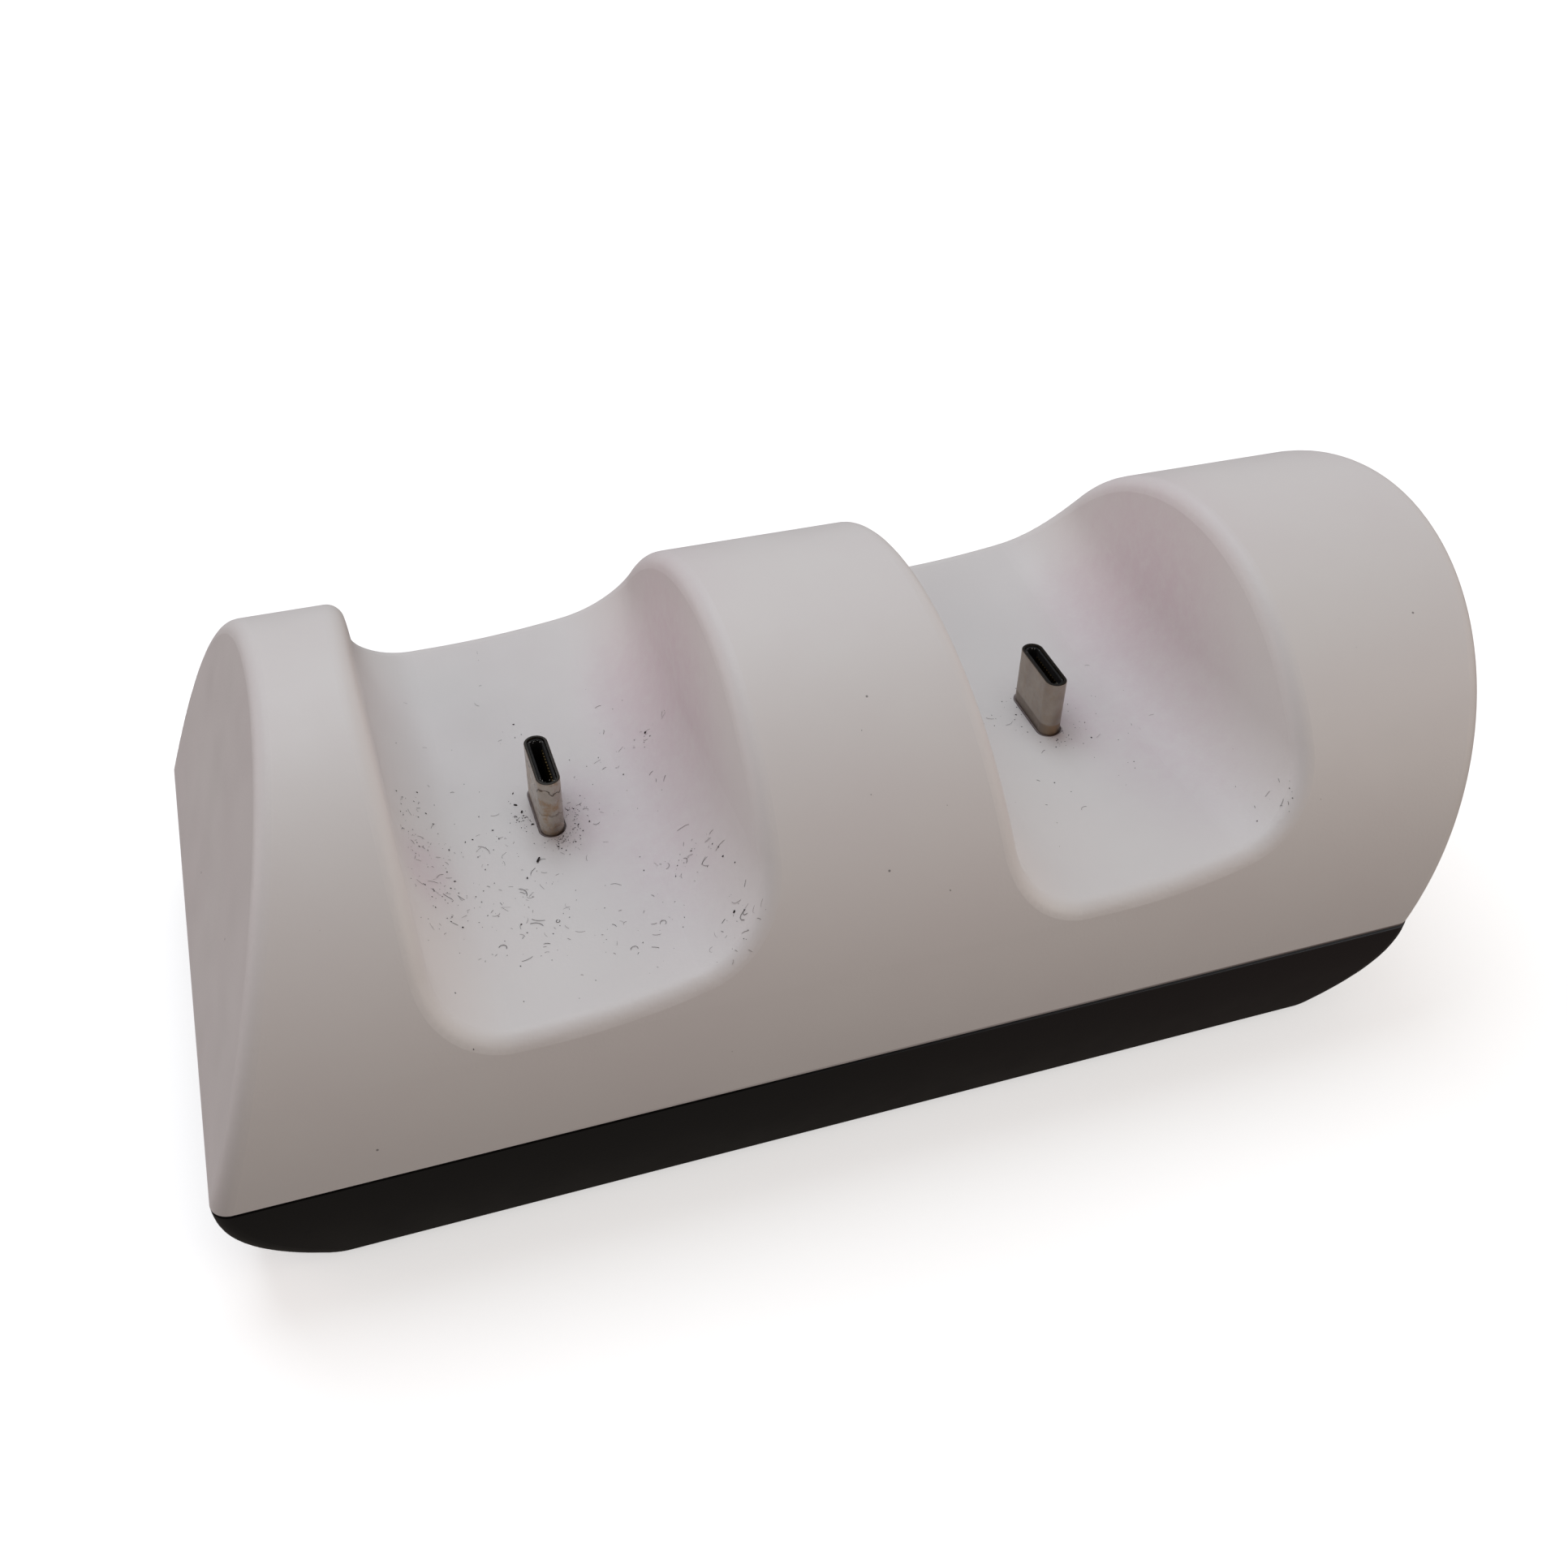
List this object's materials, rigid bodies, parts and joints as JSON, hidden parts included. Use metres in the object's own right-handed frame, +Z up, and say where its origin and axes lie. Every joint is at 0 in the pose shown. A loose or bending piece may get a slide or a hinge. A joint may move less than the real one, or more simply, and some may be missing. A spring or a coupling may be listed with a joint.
{
  "type": "controller charging dock",
  "caption": "Half-round desk dock that charges game controllers: a hollow white cover with raked ends and dished cradles, an upright charging plug in each cradle, on a shallow black tray.",
  "frame": {"origin": "centre of the overall box on the table, under the middle of the dock", "axes": "X along the dock from the front end, which leans back, to the rear end with the power socket; Y across; Z up"},
  "size_m": [0.1364, 0.067, 0.0465],
  "materials": {
    "cover": "fine moulded grain, off-white",
    "tray": "satin black",
    "holder": "satin",
    "insulator": "satin black",
    "guide": "clear, slightly milky",
    "lamp": "clear resin",
    "plug_metal": "nickel plated, tarnished",
    "socket_metal": "nickel plated",
    "contact_gold": "gold flashed",
    "board": "solder resist",
    "chip": "epoxy",
    "can_metal": "drawn can",
    "screw_metal": "zinc plated",
    "foot": "matt rubber"
  },
  "bodies": {
    "root": {"base_tray": "tray", "board_screws": "screw_metal", "case_screws": "screw_metal", "charge_lamps": "lamp", "chip_resistors": "chip", "filter_capacitors": "can_metal", "front_charge_chip": "chip", "front_left_foot": "foot", "front_plug_contacts": "contact_gold", "front_plug_holder": "holder", "front_plug_liner": "insulator", "front_plug_shell": "plug_metal", "front_right_foot": "foot", "front_riser_board": "board", "front_riser_housing": "insulator", "holder_screws": "screw_metal", "light_guide": "guide", "main_board": "board", "power_socket_contacts": "contact_gold", "power_socket_shell": "socket_metal", "power_socket_tongue": "insulator", "rear_charge_chip": "chip", "rear_left_foot": "foot", "rear_plug_contacts": "contact_gold", "rear_plug_holder": "holder", "rear_plug_liner": "insulator", "rear_plug_shell": "plug_metal", "rear_right_foot": "foot", "rear_riser_board": "board", "rear_riser_housing": "insulator", "top_cover": "cover"}
  },
  "joints": []
}
